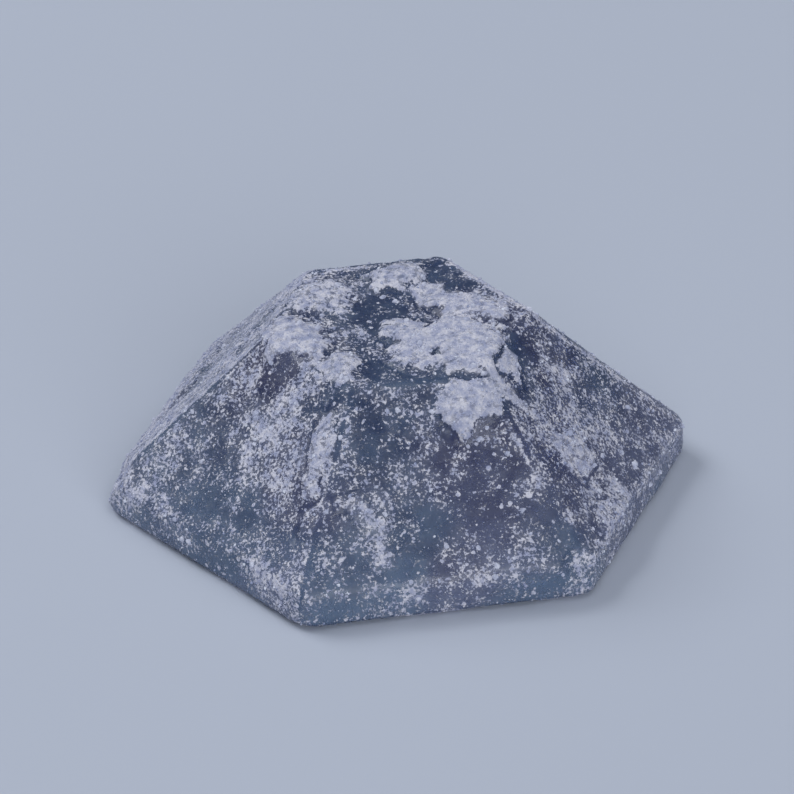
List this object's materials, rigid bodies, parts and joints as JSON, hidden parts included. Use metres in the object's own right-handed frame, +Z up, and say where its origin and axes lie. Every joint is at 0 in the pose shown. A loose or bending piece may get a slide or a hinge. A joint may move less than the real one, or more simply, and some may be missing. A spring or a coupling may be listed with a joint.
{
  "type": "hard tack candy",
  "caption": "Hard tack candy: a hexagonal boiled-sugar drop with a flat back, a thin upright rim, sloping facets and a small flat top, dusted with sugar.",
  "frame": {"origin": "bottom centre of the candy's bounding box, on the flat back it rests on", "axes": "+Z up, from the flat back to the small top face; +X across two opposite corners; -Y towards the facet that faces the viewer"},
  "size_m": [0.023, 0.0202, 0.0076],
  "materials": {
    "sugar_glass": "dark blue boiled sugar under a matt haze of sugar dust"
  },
  "bodies": {
    "root": {"candy": "sugar_glass"}
  },
  "joints": []
}
